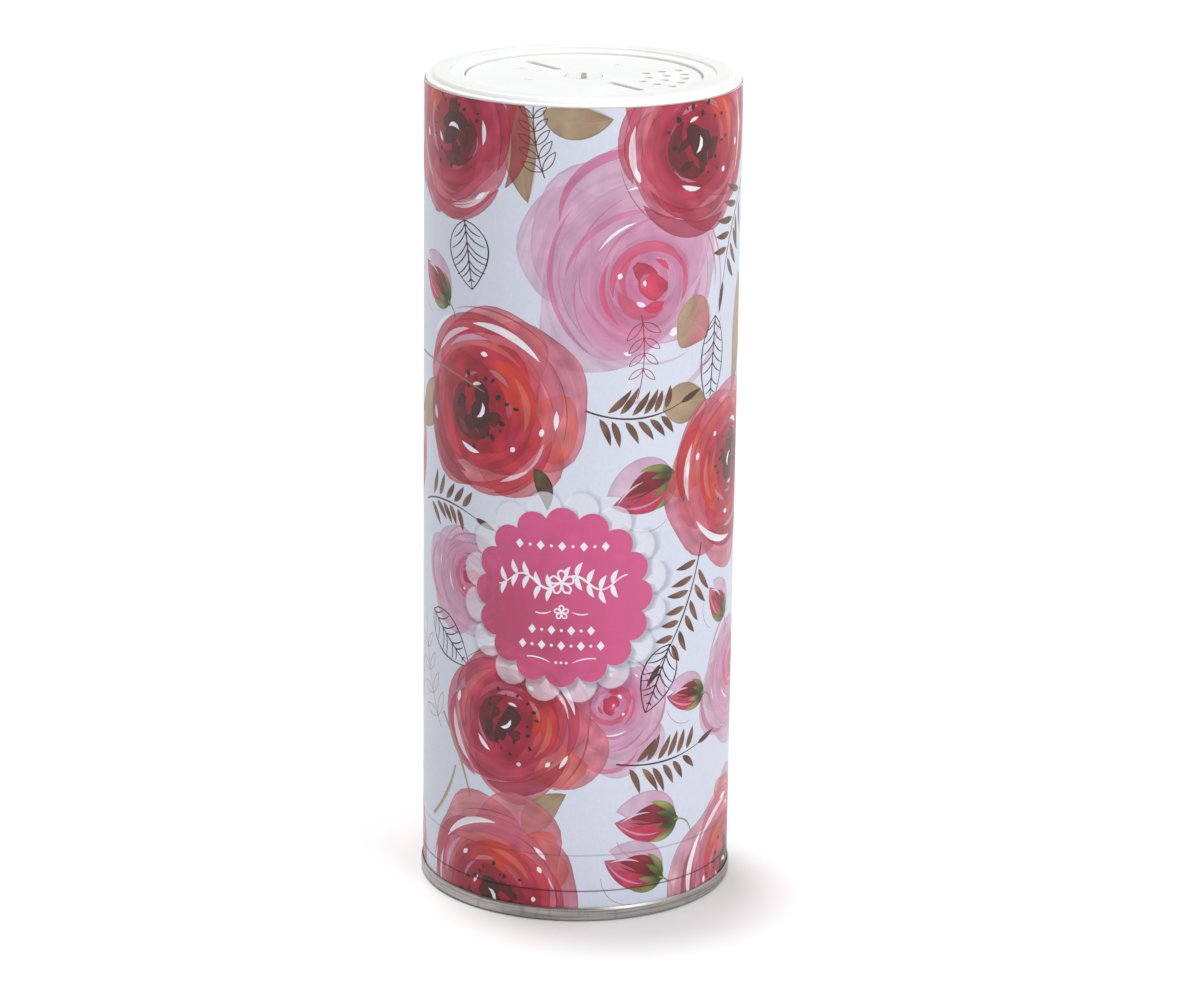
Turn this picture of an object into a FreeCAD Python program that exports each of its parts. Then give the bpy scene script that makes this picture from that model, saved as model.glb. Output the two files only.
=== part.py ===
"""Talcum powder canister with a rotary sifter closure, in millimetres.

A wound paper-board tube with a printed label stands on a seamed tinplate end. A white plastic
sifter is plugged into its mouth, and a dial snapped onto the sifter turns to open its holes.

The origin is the centre of the circle that the canister stands on. +Z is up, the front of the
label faces -Y, and the label's overlap runs up the back, at +Y.
"""
import FreeCAD, Part
import math
import os

Vector = FreeCAD.Vector
UP = Vector(0, 0, 1)
CENTRE = Vector(0, 0, 0)

# Driving dimensions of the tube and its label
TUBE_BORE_RADIUS = 32.5
TUBE_TOP = 177.8
LINER_THICKNESS = 0.15
PLY_THICKNESS = 0.50
LABEL_THICKNESS = 0.15
LABEL_OVERLAP_WIDTH = 6.5

# Tinplate end
TINPLATE = 0.23
SEAM_OUTER_RADIUS = 34.2
SEAM_HEIGHT = 3.0
SEAM_LIP = 0.45
PANEL_HEIGHT = 3.3
COUNTERSINK_HEIGHT = 4.0
PANEL_RADIUS = 30.4
BEAD_INNER_RADIUS = 21.0
BEAD_OUTER_RADIUS = 26.0
BEAD_RISE = 0.6
CHUCK_WALL_GAP = 0.10
COMPOUND_THICKNESS = 0.22
COMPOUND_INSET = 0.42

# Creases that the seaming leaves around the label, as heights above the foot
CREASE_HEIGHTS = (6.8, 15.0)
CREASE_WIDTH = 0.55
CREASE_DEPTHS = (0.09, 0.04)

# Sifter closure
PLUG_CLEARANCE = 0.09
PLUG_WALL = 1.1
PLUG_DEPTH = 12.0
SEALING_BEAD_DEPTHS = (5.2, 9.0)
SEALING_BEAD_PROUD = 0.06
FLANGE_RADIUS = 33.4
FLANGE_THICKNESS = 0.45
RING_OUTER_RADIUS = 32.0
RING_INNER_RADIUS = 28.1
LEDGE_RADIUS = 25.3
RING_RISE = 1.6
LEDGE_DROP = 0.7
DIAL_DROP = 0.5
SEAT_GAP = 0.05

# Dial and its snap post
DIAL_RADIUS = 25.0
DIAL_THICKNESS = 1.2
DIAL_GAP = 0.08
POST_RADIUS = 3.4
POST_HEAD_RADIUS = 3.95
POST_HEAD_HEIGHT = 0.62
POST_SLOT_WIDTH = 1.2
BORE_CLEARANCE = 0.08
HUB_RADIUS = 6.0
HUB_DROP = 1.4
GRIP_ANGLE = -52.0
GRIP_START_RADIUS = 8.6
GRIP_END_RADIUS = 19.9
GRIP_WIDTH = 1.8
GRIP_DEPTH = 0.7
DIAL_TRAVEL = 60.0

# Sifter holes: rows of (radius, number of holes, angle between neighbours)
HOLE_RADIUS = 1.0
HOLE_SECTOR_ANGLE = -5.0
HOLE_ROWS = ((13.6, 3, 20.0), (17.5, 4, 16.0), (21.4, 5, 12.5))

# Stop lug on the sifter, which runs in a groove under the dial
STOP_RADIUS = 22.6
STOP_LUG_RADIUS = 0.8
STOP_LUG_HEIGHT = 0.5
STOP_REST_ANGLE = 170.0
STOP_GROOVE_DEPTH = 0.65
STOP_SIDE_CLEARANCE = 0.25

# Radii and levels that follow from the sizes above
INNER_PLY_RADIUS = TUBE_BORE_RADIUS + LINER_THICKNESS
OUTER_PLY_RADIUS = INNER_PLY_RADIUS + PLY_THICKNESS
LABEL_INNER_RADIUS = OUTER_PLY_RADIUS + PLY_THICKNESS
LABEL_OUTER_RADIUS = LABEL_INNER_RADIUS + LABEL_THICKNESS
TUBE_FOOT = TINPLATE + COMPOUND_THICKNESS
PLUG_RADIUS = TUBE_BORE_RADIUS - PLUG_CLEARANCE
OVERALL_HEIGHT = TUBE_TOP + RING_RISE
FLANGE_BOTTOM = TUBE_TOP + SEAT_GAP
FLANGE_TOP = FLANGE_BOTTOM + FLANGE_THICKNESS
PLUG_FOOT = TUBE_TOP - PLUG_DEPTH
LEDGE_TOP = OVERALL_HEIGHT - LEDGE_DROP
DIAL_TOP = LEDGE_TOP - DIAL_DROP
DIAL_BOTTOM = DIAL_TOP - DIAL_THICKNESS
DECK_TOP = DIAL_BOTTOM - DIAL_GAP
DECK_BOTTOM = DECK_TOP - PLUG_WALL
POST_HEAD_BOTTOM = DIAL_TOP - POST_HEAD_HEIGHT
COUNTERBORE_FLOOR = POST_HEAD_BOTTOM - BORE_CLEARANCE


def unit(dx, dy):
    """The direction (dx, dy) at length one."""
    length = math.hypot(dx, dy)
    return dx / length, dy / length


def rounded_face(corners):
    """A flat face in the r-z half plane. Each corner is (r, z) or (r, z, fillet radius)."""
    count = len(corners)
    starts = []
    ends = []
    arcs = []
    for i, corner in enumerate(corners):
        r, z = corner[:2]
        before = corners[i - 1]
        after = corners[(i + 1) % count]
        fillet = corner[2] if len(corner) > 2 else 0.0
        back_x, back_z = unit(before[0] - r, before[1] - z)
        on_x, on_z = unit(after[0] - r, after[1] - z)
        if fillet == 0.0:
            starts.append(Vector(r, 0, z))
            ends.append(Vector(r, 0, z))
            arcs.append(None)
            continue
        half_angle = 0.5 * math.acos(back_x * on_x + back_z * on_z)
        run = fillet / math.tan(half_angle)
        reach = fillet / math.sin(half_angle) - fillet
        mid_x, mid_z = unit(back_x + on_x, back_z + on_z)
        starts.append(Vector(r + back_x * run, 0, z + back_z * run))
        ends.append(Vector(r + on_x * run, 0, z + on_z * run))
        arcs.append(Vector(r + mid_x * reach, 0, z + mid_z * reach))
    edges = []
    for i in range(count):
        if arcs[i] is not None:
            edges.append(Part.Arc(starts[i], arcs[i], ends[i]).toShape())
        following = starts[(i + 1) % count]
        if ends[i].distanceToPoint(following) > 1e-7:
            edges.append(Part.LineSegment(ends[i], following).toShape())
    return Part.Face(Part.Wire(edges))


def turned(corners):
    """A solid of revolution about Z from a list of r-z corners."""
    return rounded_face(corners).revolve(CENTRE, UP, 360)


def sheet_side(path, distance):
    """The corners of a line beside a bent sheet's middle line, at a signed distance to its left."""
    side = []
    for i, (r, z, bend) in enumerate(path):
        if i > 0:
            in_r, in_z = unit(r - path[i - 1][0], z - path[i - 1][1])
        if i < len(path) - 1:
            out_r, out_z = unit(path[i + 1][0] - r, path[i + 1][1] - z)
        if i == 0:
            in_r, in_z = out_r, out_z
        if i == len(path) - 1:
            out_r, out_z = in_r, in_z
        cosine = in_r * out_r + in_z * out_z
        turn = in_r * out_z - in_z * out_r
        shift = distance / (1 + cosine)
        corner_r = r - (in_z + out_z) * shift
        corner_z = z + (in_r + out_r) * shift
        radius = bend - math.copysign(1, turn) * distance if bend > 0 else 0.0
        side.append((corner_r, corner_z, radius))
    return side


def tube(inner_radius, outer_radius, bottom, top):
    """A plain tube about Z."""
    return turned([(inner_radius, bottom), (outer_radius, bottom), (outer_radius, top), (inner_radius, top)])


def make_label_wrap():
    """The printed label: one turn around the tube, with creases near the foot and a lap at the back."""
    outer = LABEL_OUTER_RADIUS
    corners = [(LABEL_INNER_RADIUS, TUBE_FOOT), (outer, TUBE_FOOT)]
    for height, depth in zip(CREASE_HEIGHTS, CREASE_DEPTHS):
        half = CREASE_WIDTH / 2
        corners.append((outer, height - half))
        corners.append((outer - depth, height, CREASE_WIDTH / 4))
        corners.append((outer, height + half))
    corners += [(outer, TUBE_TOP), (LABEL_INNER_RADIUS, TUBE_TOP)]
    wrap = turned(corners)
    lap_angle = math.degrees(LABEL_OVERLAP_WIDTH / outer)
    lap_face = rounded_face([
        (outer - LABEL_THICKNESS / 3, SEAM_HEIGHT + 0.2),
        (outer + LABEL_THICKNESS, SEAM_HEIGHT + 0.2),
        (outer + LABEL_THICKNESS, TUBE_TOP),
        (outer - LABEL_THICKNESS / 3, TUBE_TOP),
    ])
    lap = lap_face.revolve(CENTRE, UP, lap_angle)
    lap.rotate(CENTRE, UP, 90 - lap_angle / 2)
    return wrap.fuse(lap).removeSplitter()


def make_bottom_end():
    """The tinplate end: a beaded panel, a countersink, and a seam folded up around the tube's foot."""
    half = TINPLATE / 2
    chuck_radius = TUBE_BORE_RADIUS - CHUCK_WALL_GAP - half
    wall_radius = SEAM_OUTER_RADIUS - half
    lip_radius = LABEL_OUTER_RADIUS + half + 0.01
    bead_slope = 0.8
    path = [
        (0.0, PANEL_HEIGHT, 0.0),
        (BEAD_INNER_RADIUS, PANEL_HEIGHT, 0.5),
        (BEAD_INNER_RADIUS + bead_slope, PANEL_HEIGHT + BEAD_RISE, 0.5),
        (BEAD_OUTER_RADIUS - bead_slope, PANEL_HEIGHT + BEAD_RISE, 0.5),
        (BEAD_OUTER_RADIUS, PANEL_HEIGHT, 0.5),
        (PANEL_RADIUS, PANEL_HEIGHT, 0.4),
        (PANEL_RADIUS + 0.5, COUNTERSINK_HEIGHT - half, 0.3),
        (chuck_radius, COUNTERSINK_HEIGHT - half, 0.4),
        (chuck_radius, half, 0.5),
        (wall_radius, half, 0.6),
        (wall_radius, SEAM_HEIGHT - SEAM_LIP, 0.4),
        (lip_radius, SEAM_HEIGHT, 0.0),
    ]
    lower = sheet_side(path, -half)
    upper = sheet_side(path, half)
    return turned(lower + upper[::-1])


def make_seam_compound():
    """The ring of sealing compound between the tube's cut foot and the fold of the seam."""
    inner_radius = TUBE_BORE_RADIUS + COMPOUND_INSET
    outer_radius = LABEL_OUTER_RADIUS - COMPOUND_INSET
    return tube(inner_radius, outer_radius, TINPLATE, TUBE_FOOT)


def sifter_holes(bottom, top, sector_angle):
    """Cylinders that cut the sifter holes, in rows about one radial direction."""
    holes = []
    for radius, count, pitch in HOLE_ROWS:
        for i in range(count):
            angle = math.radians(sector_angle + (i - (count - 1) / 2) * pitch)
            foot = Vector(radius * math.cos(angle), radius * math.sin(angle), bottom)
            holes.append(Part.makeCylinder(HOLE_RADIUS, top - bottom, foot))
    return Part.makeCompound(holes)


def make_snap_post():
    """The split post that holds the dial: two prongs with a barbed head."""
    blend = 0.5
    chamfer = 0.15
    post = turned([
        (0.0, DECK_TOP - blend),
        (POST_RADIUS, DECK_TOP - blend),
        (POST_RADIUS, POST_HEAD_BOTTOM),
        (POST_HEAD_RADIUS, POST_HEAD_BOTTOM),
        (POST_HEAD_RADIUS, DIAL_TOP - 2 * chamfer),
        (POST_HEAD_RADIUS - chamfer, DIAL_TOP),
        (0.0, DIAL_TOP),
    ])
    width = 3 * POST_HEAD_RADIUS
    corner = Vector(-POST_SLOT_WIDTH / 2, -width / 2, DECK_TOP)
    slot = Part.makeBox(POST_SLOT_WIDTH, width, DIAL_THICKNESS * 2, corner)
    return post.cut(slot)


def make_sifter_plug():
    """The white sifter: plug skirt, rim flange, raised ring, ledge and deck in one moulding."""
    wall = PLUG_WALL
    skirt_inner = PLUG_RADIUS - wall
    corners = [
        (0.0, DECK_TOP),
        (LEDGE_RADIUS, DECK_TOP, 0.2),
        (LEDGE_RADIUS, LEDGE_TOP, 0.2),
        (RING_INNER_RADIUS, LEDGE_TOP, 0.2),
        (RING_INNER_RADIUS, OVERALL_HEIGHT, 0.25),
        (RING_OUTER_RADIUS, OVERALL_HEIGHT, 0.35),
        (RING_OUTER_RADIUS, FLANGE_TOP, 0.12),
        (FLANGE_RADIUS, FLANGE_TOP, 0.15),
        (FLANGE_RADIUS, FLANGE_BOTTOM),
        (PLUG_RADIUS, FLANGE_BOTTOM),
    ]
    for depth in SEALING_BEAD_DEPTHS:
        height = TUBE_TOP - depth
        corners.append((PLUG_RADIUS, height + 0.5))
        corners.append((PLUG_RADIUS + SEALING_BEAD_PROUD, height, 0.6))
        corners.append((PLUG_RADIUS, height - 0.5))
    corners += [
        (PLUG_RADIUS, PLUG_FOOT + 1.2),
        (PLUG_RADIUS - 0.45, PLUG_FOOT, 0.2),
        (skirt_inner, PLUG_FOOT, 0.2),
        (skirt_inner, OVERALL_HEIGHT - wall, 0.3),
        (RING_INNER_RADIUS + wall, OVERALL_HEIGHT - wall, 0.3),
        (RING_INNER_RADIUS + wall, LEDGE_TOP - wall, 0.2),
        (LEDGE_RADIUS + wall, LEDGE_TOP - wall, 0.2),
        (LEDGE_RADIUS + wall, DECK_BOTTOM, 0.3),
        (HUB_RADIUS, DECK_BOTTOM, 0.3),
        (HUB_RADIUS, DECK_BOTTOM - HUB_DROP, 0.3),
        (0.0, DECK_BOTTOM - HUB_DROP),
    ]
    plug = turned(corners)
    plug = plug.cut(sifter_holes(DECK_BOTTOM - 1, DECK_TOP + 1, HOLE_SECTOR_ANGLE + DIAL_TRAVEL))
    plug = plug.fuse(make_snap_post())
    angle = math.radians(STOP_REST_ANGLE)
    foot = Vector(STOP_RADIUS * math.cos(angle), STOP_RADIUS * math.sin(angle), DECK_TOP - 0.4)
    lug = Part.makeCylinder(STOP_LUG_RADIUS, STOP_LUG_HEIGHT + 0.4, foot)
    return plug.fuse(lug).removeSplitter()


def grip_groove(angle):
    """A blind groove with round ends, cut into the dial's face along one radius."""
    half = GRIP_WIDTH / 2
    floor = DIAL_TOP - GRIP_DEPTH
    length = GRIP_END_RADIUS - GRIP_START_RADIUS - GRIP_WIDTH
    start = GRIP_START_RADIUS + half
    box = Part.makeBox(length, GRIP_WIDTH, GRIP_DEPTH * 2, Vector(start, -half, floor))
    groove = box
    for radius in (start, start + length):
        groove = groove.fuse(Part.makeCylinder(half, GRIP_DEPTH * 2, Vector(radius, 0, floor)))
    groove.rotate(CENTRE, UP, angle)
    return groove


def stop_groove():
    """The arc under the dial that the stop lug runs in, which sets the dial's travel."""
    half = STOP_LUG_RADIUS + STOP_SIDE_CLEARANCE
    ceiling = DIAL_BOTTOM + STOP_GROOVE_DEPTH
    section = rounded_face([
        (STOP_RADIUS - half, DIAL_BOTTOM - 1),
        (STOP_RADIUS + half, DIAL_BOTTOM - 1),
        (STOP_RADIUS + half, ceiling),
        (STOP_RADIUS - half, ceiling),
    ])
    groove = section.revolve(CENTRE, UP, DIAL_TRAVEL)
    groove.rotate(CENTRE, UP, STOP_REST_ANGLE - DIAL_TRAVEL)
    for angle in (STOP_REST_ANGLE - DIAL_TRAVEL, STOP_REST_ANGLE):
        turn = math.radians(angle)
        foot = Vector(STOP_RADIUS * math.cos(turn), STOP_RADIUS * math.sin(turn), DIAL_BOTTOM - 1)
        groove = groove.fuse(Part.makeCylinder(half, STOP_GROOVE_DEPTH + 1, foot))
    return groove


def make_sifter_dial():
    """The dial: a disc on the snap post, with two finger grooves and a sector of sifter holes."""
    bore = POST_RADIUS + BORE_CLEARANCE
    counterbore = POST_HEAD_RADIUS + 0.15
    dial = turned([
        (bore, DIAL_BOTTOM),
        (DIAL_RADIUS, DIAL_BOTTOM, 0.15),
        (DIAL_RADIUS, DIAL_TOP, 0.3),
        (counterbore, DIAL_TOP, 0.1),
        (counterbore, COUNTERBORE_FLOOR),
        (bore, COUNTERBORE_FLOOR),
    ])
    for angle in (GRIP_ANGLE, GRIP_ANGLE + 180):
        dial = dial.cut(grip_groove(angle))
    dial = dial.cut(sifter_holes(DIAL_BOTTOM - 1, DIAL_TOP + 1, HOLE_SECTOR_ANGLE))
    return dial.cut(stop_groove())


def make_parts():
    """Every piece of the canister, by node name."""
    return {
        "tube_liner": tube(TUBE_BORE_RADIUS, INNER_PLY_RADIUS, TUBE_FOOT, TUBE_TOP),
        "inner_board_ply": tube(INNER_PLY_RADIUS, OUTER_PLY_RADIUS, TUBE_FOOT, TUBE_TOP),
        "outer_board_ply": tube(OUTER_PLY_RADIUS, LABEL_INNER_RADIUS, TUBE_FOOT, TUBE_TOP),
        "label_wrap": make_label_wrap(),
        "bottom_end": make_bottom_end(),
        "seam_compound": make_seam_compound(),
        "sifter_plug": make_sifter_plug(),
        "sifter_dial": make_sifter_dial(),
    }


os.makedirs("parts", exist_ok=True)
for node, shape in make_parts().items():
    solids = shape.Solids
    assert len(solids) == 1 and solids[0].isValid(), node
    solids[0].exportStep(os.path.join("parts", node + ".step"))
    box = solids[0].BoundBox
    print(f"{node}: volume {solids[0].Volume:.1f} mm3, z {box.ZMin:.2f} to {box.ZMax:.2f}, x {box.XMax:.2f}")
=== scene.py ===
"""Looks of the talcum powder tin: the printed label, the materials, the floor, the light and the camera."""

import math

import bpy
import numpy as np
from mathutils import Matrix, Vector
from mathutils.geometry import delaunay_2d_cdt


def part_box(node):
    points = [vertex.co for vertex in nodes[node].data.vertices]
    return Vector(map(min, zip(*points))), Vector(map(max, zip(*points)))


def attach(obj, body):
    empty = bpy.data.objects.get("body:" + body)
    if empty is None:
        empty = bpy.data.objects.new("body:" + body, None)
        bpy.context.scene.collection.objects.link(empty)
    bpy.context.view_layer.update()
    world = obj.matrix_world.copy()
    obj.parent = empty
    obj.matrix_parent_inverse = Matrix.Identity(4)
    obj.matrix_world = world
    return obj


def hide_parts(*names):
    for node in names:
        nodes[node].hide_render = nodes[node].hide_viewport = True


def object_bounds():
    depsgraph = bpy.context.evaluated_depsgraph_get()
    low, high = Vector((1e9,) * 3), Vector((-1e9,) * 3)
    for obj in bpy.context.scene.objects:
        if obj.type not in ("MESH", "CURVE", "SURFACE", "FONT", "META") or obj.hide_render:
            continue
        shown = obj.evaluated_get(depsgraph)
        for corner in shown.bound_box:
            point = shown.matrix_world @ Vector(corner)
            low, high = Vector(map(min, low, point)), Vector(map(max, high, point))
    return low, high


# ---- the printed artwork, drawn on the unrolled label in millimetres ----
# A point is (across, up): to the right from the middle of the front, and up from the foot.

LABEL_RADIUS = 33.8
PAPER = (0.788, 0.806, 0.860)
RIM_WIDTH = 0.45

CRIMSON = (0.648, 0.235, 0.312)
RED = (0.682, 0.198, 0.248)
DEEP_CRIMSON = (0.545, 0.175, 0.235)
ROSE = (0.710, 0.375, 0.455)
SALMON = (0.760, 0.440, 0.410)
MAROON = (0.310, 0.150, 0.175)
ORANGE = (0.760, 0.280, 0.215)
PINK = (0.725, 0.400, 0.535)
PALE_PINK = (0.740, 0.585, 0.680)
SOFT_PINK = (0.720, 0.480, 0.600)
HOT_PINK = (0.755, 0.245, 0.345)
WHITE = (0.880, 0.890, 0.920)
TAN = (0.640, 0.560, 0.460)
DARK_TAN = (0.550, 0.450, 0.370)
BROWN = (0.470, 0.350, 0.300)
DARK_BROWN = (0.330, 0.240, 0.215)
INK = (0.230, 0.180, 0.190)
GREEN = (0.540, 0.560, 0.340)
DARK_GREEN = (0.290, 0.320, 0.220)
BADGE_PINK = (0.765, 0.355, 0.510)
BADGE_SHADE = (0.680, 0.305, 0.425)
SHADOW = (0.520, 0.500, 0.560)


def ease(value):
    """A smooth step from 0 to 1."""
    value = np.clip(value, 0.0, 1.0)
    return value * value * (3 - 2 * value)


def blend(first, second, share):
    """Colours between two, one for each share."""
    share = np.asarray(share)[..., None]
    return np.asarray(first) * (1 - share) + np.asarray(second) * share


def ripple(points, period, seed):
    """A smooth random field between about -1 and 1, with the given period in millimetres."""
    rng = np.random.default_rng(seed)
    total = np.zeros(len(points))
    for _ in range(5):
        angle = rng.uniform(0, 2 * math.pi)
        wave = 2 * math.pi / (period * rng.uniform(0.6, 1.6))
        along = points[:, 0] * math.cos(angle) + points[:, 1] * math.sin(angle)
        total += np.sin(along * wave + rng.uniform(0, 2 * math.pi))
    return total / 2.6


def distance_to(outline, points):
    """The distance from each point to a closed outline."""
    run = np.roll(outline, -1, axis=0) - outline
    to_point = points[:, None, :] - outline
    length = np.maximum((run * run).sum(-1), 1e-12)
    share = np.clip((to_point * run).sum(-1) / length, 0, 1)
    gap = to_point - run * share[..., None]
    return np.sqrt((gap * gap).sum(-1)).min(axis=1)


class Layer:
    """One painted shape. A rim darkens its edge, and a glaze multiplies what is below it."""

    def __init__(self, outline, paint, rim=0.0, glaze=False, brush=None):
        self.outline = outline
        self.paint = paint
        self.rim = rim
        self.glaze = glaze
        self.brush = brush

    def guides(self):
        """The outlines that the mesh has to follow."""
        if not self.rim:
            return [self.outline]
        ahead, behind = np.roll(self.outline, -1, axis=0), np.roll(self.outline, 1, axis=0)
        along = ahead - behind
        across = np.stack([along[:, 1], -along[:, 0]], axis=1)
        across /= np.maximum(np.linalg.norm(across, axis=1, keepdims=True), 1e-9)
        area = np.sum(self.outline[:, 0] * ahead[:, 1] - ahead[:, 0] * self.outline[:, 1])
        inward = -across if area > 0 else across
        return [self.outline, self.outline + inward * RIM_WIDTH]

    def colour(self, points, below):
        """The colours of points in the shape, painted over the colours below them."""
        rgba = self.paint(points)
        top = rgba[:, :3]
        alpha = rgba[:, 3:]
        if self.rim:
            edge = np.clip(1 - distance_to(self.outline, points) / RIM_WIDTH, 0, 1)
            top = top * (1 - self.rim * edge[:, None])
        if self.glaze:
            return below * (1 - alpha + alpha * top)
        return below * (1 - alpha) + top * alpha


def solid(colour, alpha=1.0):
    """Paint of one colour, for thin strokes and dots."""
    return lambda points: np.tile(np.append(colour, alpha), (len(points), 1))


def wash(inner, outer, centre, reach, alpha=1.0, seed=0, mottle=0.07):
    """Watercolour that runs from one colour at a centre to another at a reach, with pooled pigment."""
    def paint(points):
        span = np.hypot(*(points - centre).T) / reach + 0.16 * ripple(points, 9.0, seed)
        top = blend(inner, outer, ease(span))
        top = top * (1 + mottle * ripple(points, 5.0, seed + 1)[:, None])
        return np.column_stack([top, np.full(len(points), alpha)])
    return paint


def bloom(colour, centre, reach, alpha):
    """Wet paint that fades out to nothing at its reach."""
    def paint(points):
        span = np.hypot(*(points - centre).T) / reach
        return np.column_stack([np.tile(colour, (len(points), 1)), alpha * (1 - ease(span))])
    return paint


def round_brush(centre, strength):
    """Brush marks round a centre: distance from it, a place that drifts with the angle, and strength."""
    def brush(points):
        gap = points - centre
        angle = np.arctan2(gap[:, 1], gap[:, 0])
        around = np.sin(angle) * 3 + np.cos(angle) * 2.1
        return np.column_stack([np.hypot(*gap.T), around, np.full(len(points), strength)])
    return brush


def toward(centre, distance, heading):
    """The point at a distance from a centre towards a heading."""
    return centre + (distance * math.cos(heading), distance * math.sin(heading))


def turned(points, tilt):
    """Points turned about the origin."""
    return points @ np.array([[math.cos(tilt), math.sin(tilt)], [-math.sin(tilt), math.cos(tilt)]])


def leftward(spine):
    """Unit steps to the left of a line, at each of its points."""
    along = np.gradient(spine, axis=0)
    across = np.column_stack([-along[:, 1], along[:, 0]])
    return across / np.maximum(np.linalg.norm(across, axis=1, keepdims=True), 1e-9)


def heading_at(spine, index):
    """The way that a line heads at one of its points."""
    along = np.gradient(spine, axis=0)[index]
    return math.atan2(along[1], along[0])


def polar(centre, radii, angles):
    """Points at the given radii and angles about a centre."""
    return np.column_stack([centre[0] + radii * np.cos(angles), centre[1] + radii * np.sin(angles)])


def ring(radii, squash, tilt, centre):
    """A closed outline from its radii at even angles, squashed, tilted and put in place."""
    angles = np.linspace(0, 2 * math.pi, len(radii), endpoint=False)
    return turned(polar((0, 0), radii, angles) * (1.0, squash), tilt) + centre


def blob(centre, radius, rng, rough=0.08, squash=1.0, tilt=0.0, count=20):
    """A closed round outline with a few soft bulges."""
    angles = np.linspace(0, 2 * math.pi, count, endpoint=False)
    radii = np.ones(count)
    for wave in (2, 3, 5):
        radii += rough / wave * 2 * np.sin(wave * angles + rng.uniform(0, 2 * math.pi))
    return ring(radii * radius, squash, tilt, centre)


def petal(centre, heading, inner, outer):
    """The outline of a broad round petal that stands out from a centre towards a heading."""
    rng = np.random.default_rng(3)
    half_width = 0.56
    across = np.linspace(-1, 1, 12)
    full = (1 - np.abs(across) ** 2.6) ** 0.5
    frill = 0.030 * np.sin(across * 5.5 + rng.uniform(0, 6))
    frill += 0.018 * np.sin(across * 11 + rng.uniform(0, 6))
    radii = inner + (outer * (1 + frill) - inner) * full
    lean = rng.uniform(-0.08, 0.08)
    outer_edge = polar(centre, radii, heading + half_width * (across + lean * full))
    back = np.linspace(1, -1, 7)[1:-1]
    inner_edge = polar(centre, np.full(5, inner * 0.7), heading + half_width * back)
    return np.vstack([outer_edge, inner_edge])


def ribbon(spine, width, taper=(0.0, 0.0)):
    """A brush stroke along a spine. Its width swells in the middle and falls to a share at each end."""
    share = np.linspace(0, 1, len(spine))
    swell = np.sin(math.pi * share) ** 0.7
    ends = taper[0] * (1 - share) + taper[1] * share
    half = (0.5 * width * np.maximum(np.maximum(swell, ends), 0.06))[:, None] * leftward(spine)
    return np.vstack([spine + half, (spine - half)[::-1]])


def bend(start, end, bulge, count=9):
    """A curved spine from start to end that bulges to the left by a share of its length."""
    share = np.linspace(0, 1, count)[:, None]
    left = np.array([-(end - start)[1], (end - start)[0]])
    return start + (end - start) * share + left * bulge * 4 * share * (1 - share)


def arc(centre, radius, middle, span, count):
    """A spine along part of a circle."""
    angles = np.linspace(middle - span / 2, middle + span / 2, count)
    return polar(centre, np.full(count, radius), angles)


def leaf(base, tip, width, lean=0.0, count=12):
    """The outline of a pointed leaf from its base to its tip."""
    spine = bend(base, tip, lean, count)
    share = np.linspace(0, 1, count)
    half = (0.5 * width * np.sin(math.pi * share ** 0.8) ** 0.85)[:, None] * leftward(spine)
    return np.vstack([spine + half, (spine - half)[::-1][1:-1]])


class Sheet:
    """The layers of the print, from the bottom up, and the flowers, for a finer mesh."""

    def __init__(self):
        self.layers = []
        self.flowers = []

    def add(self, outline, paint, **options):
        self.layers.append(Layer(outline, paint, **options))

    def stroke(self, spine, width, colour, alpha=1.0, taper=(0.0, 0.0)):
        self.add(ribbon(spine, width, taper), solid(colour, alpha))

    def dot(self, centre, radius, colour, squash=1.0, tilt=0.0):
        self.add(ring(np.full(7, radius), squash, tilt, centre), solid(colour))

    def sweep(self, centre, radius, middle, span, width, colour, alpha, rim=0.0):
        """A curved brush mark round a centre, pointed at both ends. Only a broad one has a rim."""
        spine = arc(centre, radius, middle, span, int(np.clip(radius * span / 1.8, 4, 14)) + 1)
        self.add(ribbon(spine, width), solid(colour, alpha), rim=rim if width > 2.2 else 0.0)

    def sweeps(self, centre, size, heading, *rows):
        """Sweeps in a flower. Each row gives reach, angle, span, width, colour, alpha and perhaps rim."""
        for reach, angle, span, width, *paint in rows:
            self.sweep(centre, size * reach, heading + angle, span, size * width, *paint)


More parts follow.
